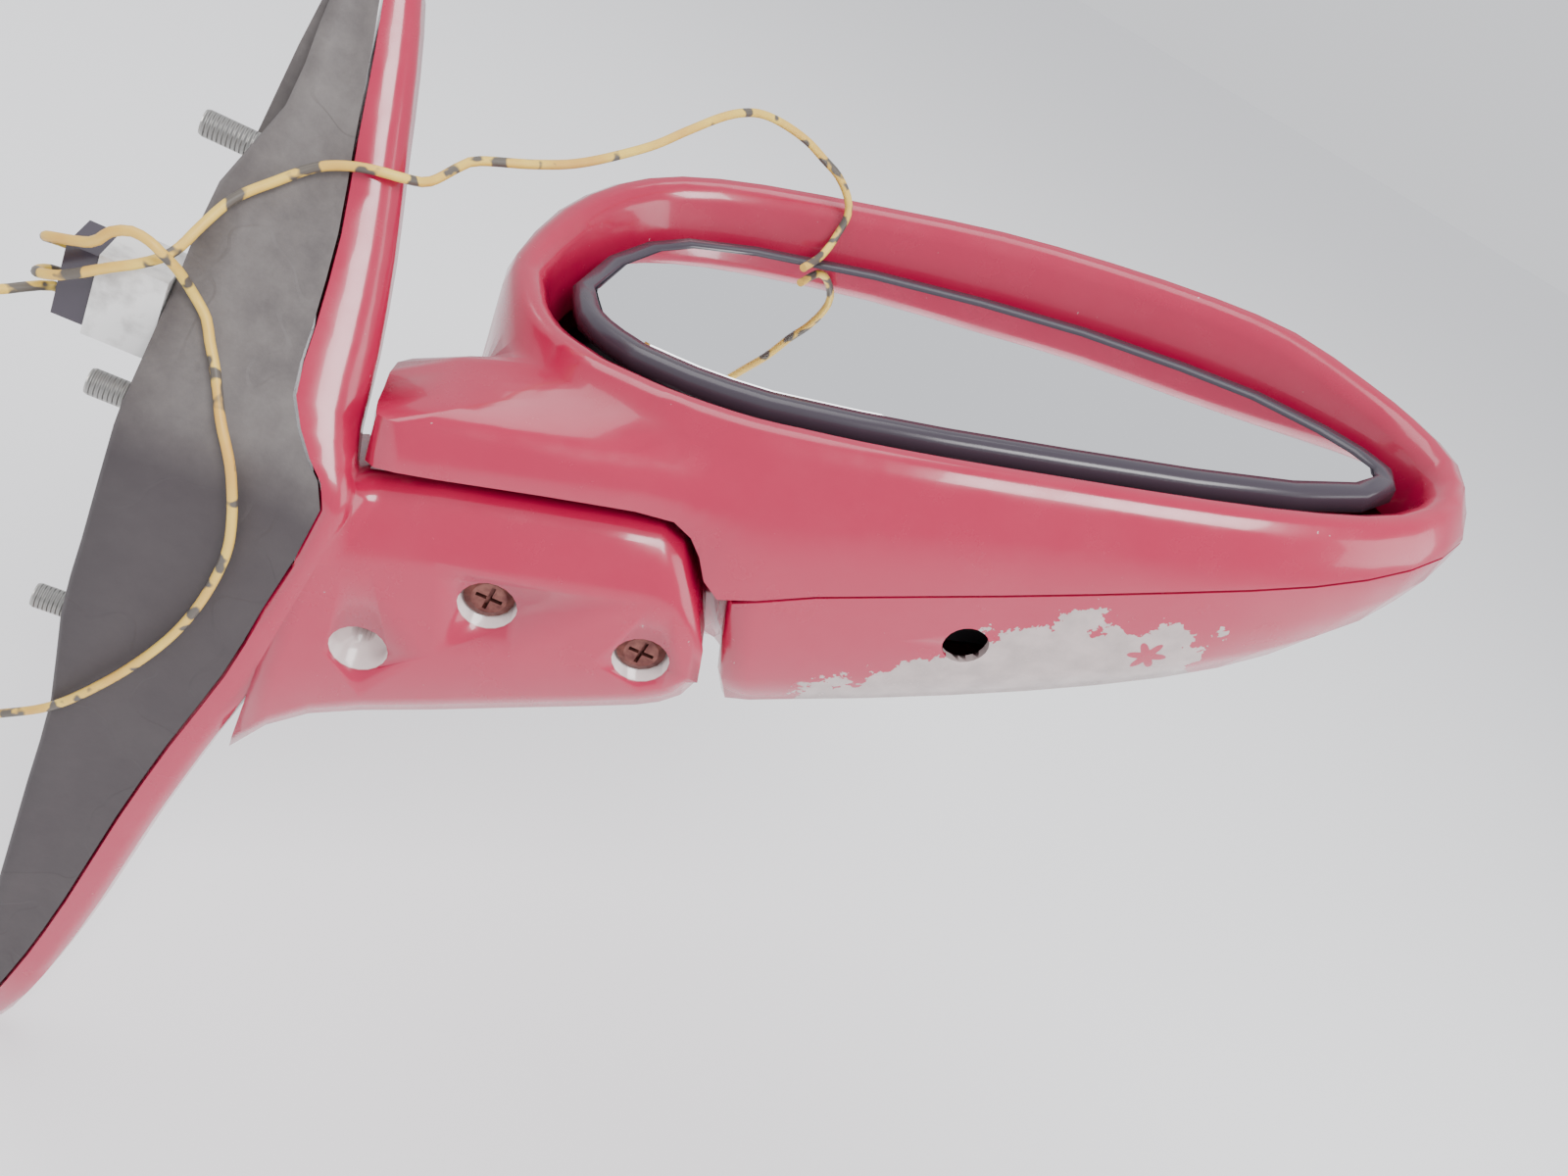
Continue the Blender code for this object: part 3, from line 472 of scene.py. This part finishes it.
class MIRROR_OT_rubber(bpy.types.Operator):
    """Dusty rubber gasket with a painted highlight: paler on the side that faces backwards, over
    patchy dust
    """

    bl_idname = "door_mirror.rubber"
    bl_label = "Rubber gasket"

    def execute(self, context):
        looks = context.scene.mirror_looks
        rubber = Shader("rubber_dust_and_highlight", Roughness=0.62)
        # painted highlight: the gasket is painted paler towards +Z, on the side that faces
        # backwards; the noise patches multiplied in are dust
        painted_highlight_side = rubber.ramp(rubber.along(Vector((0, 0, 1)), Vector()), -0.004, 0.012, 0.12, 0.75)
        patches = rubber.ramp(rubber.noise(70, 7, 0.7), 0.3, 0.7, 0.35, 1.0)
        dust_and_highlight = rubber.math("MULTIPLY", painted_highlight_side, patches)
        colour = rubber.mix(dust_and_highlight, (0.035, 0.026, 0.03, 1.0), rgba(looks.dust_and_highlight))
        creases = rubber.ramp(rubber.noise(35, 2), 0.495, 0.505)
        rubber.feed("Base Color", colour)
        rubber.bump(rubber.math("ADD", creases, rubber.noise(300, 4)), 0.35, 0.0003)
        skin(context, "door_gasket", rubber.material, sharp=30)
        return {"FINISHED"}


class MIRROR_OT_trim(bpy.types.Operator):
    """Glass, its dark holder, screws, studs, plug and the parts inside"""

    bl_idname = "door_mirror.trim"
    bl_label = "Glass and hardware"

    def execute(self, context):
        glass = Shader("silvered_glass", Base_Color=(0.90, 0.91, 0.93, 1.0), Metallic=1.0)
        glass.feed("Roughness", glass.ramp(glass.noise(60, 5), 0.4, 0.8, 0.015, 0.07))
        skin(context, "mirror_glass", glass.material, sharp=5)

        holder = Shader("holder_plastic", Base_Color=(0.045, 0.036, 0.05, 1.0), Roughness=0.22)
        dress(holder.material, "connector_hood")
        skin(context, "glass_holder", holder.material)
        dark = Shader("inner_plastic", Base_Color=(0.03, 0.03, 0.033, 1.0), Roughness=0.45)
        dress(dark.material, "head_frame", "actuator_case", "actuator_cover", "ball_post")

        screw = Shader("brown_screw", Metallic=0.7, Roughness=0.42)
        stain = screw.ramp(screw.noise(500, 5), 0.35, 0.65)
        brown = screw.mix(stain, (0.22, 0.085, 0.07, 1.0), (0.10, 0.03, 0.028, 1.0))
        screw.feed("Base Color", brown)
        dress(screw.material, "foot_screw_inner", "foot_screw_outer")

        stud = Shader("threaded_zinc", Metallic=0.9, Roughness=0.38,
                      Base_Color=(0.42, 0.41, 0.39, 1.0))
        wave = stud.nodes.new("ShaderNodeTexWave")
        wave.inputs["Scale"].default_value = 2 * math.pi / (WAVE_FACTOR * THREAD_PITCH)
        stud.links.new(stud.point(), wave.inputs["Vector"])
        stud.bump(wave.outputs["Fac"], 1.0, 0.0004)
        for name in ("stud_rear", "stud_middle", "stud_front"):
            skin(context, name, stud.material)

        nylon = Shader("grimy_nylon", Roughness=0.42)
        grime = nylon.ramp(nylon.noise(160, 6), 0.5, 0.8)
        white = nylon.mix(grime, (0.76, 0.75, 0.74, 1.0), (0.34, 0.32, 0.31, 1.0))
        nylon.feed("Base Color", white)
        dress(nylon.material, "connector_housing", "tilt_plunger", "pan_plunger", "tilt_gear",
              "pan_gear", "ball_ring")
        return {"FINISHED"}


class MIRROR_PT_panel(bpy.types.Panel):
    """Buttons for each step"""

    bl_label = "Door mirror"
    bl_idname = "MIRROR_PT_panel"
    bl_space_type = "VIEW_3D"
    bl_region_type = "UI"
    bl_category = "Door mirror"

    def draw(self, context):
        looks = context.scene.mirror_looks
        for name in ("paint", "primer_and_well_light", "dust_and_highlight", "wire_radius", "wire_step", "lens"):
            self.layout.prop(looks, name)
        for operator in OPERATORS:
            self.layout.operator(operator.bl_idname)


OPERATORS = (MIRROR_OT_stage, MIRROR_OT_wires, MIRROR_OT_paint, MIRROR_OT_rubber, MIRROR_OT_trim)


def register():
    for item in (MirrorLooks, *OPERATORS, MIRROR_PT_panel):
        bpy.utils.register_class(item)
    bpy.types.Scene.mirror_looks = bpy.props.PointerProperty(type=MirrorLooks)


def unregister():
    del bpy.types.Scene.mirror_looks
    for item in reversed((MirrorLooks, *OPERATORS, MIRROR_PT_panel)):
        bpy.utils.unregister_class(item)


def main():
    FRAME.update(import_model())
    register()
    bpy.ops.door_mirror.stage()
    bpy.ops.door_mirror.wires()
    bpy.ops.door_mirror.paint()
    bpy.ops.door_mirror.rubber()
    bpy.ops.door_mirror.trim()


if __name__ == "__main__":
    main()
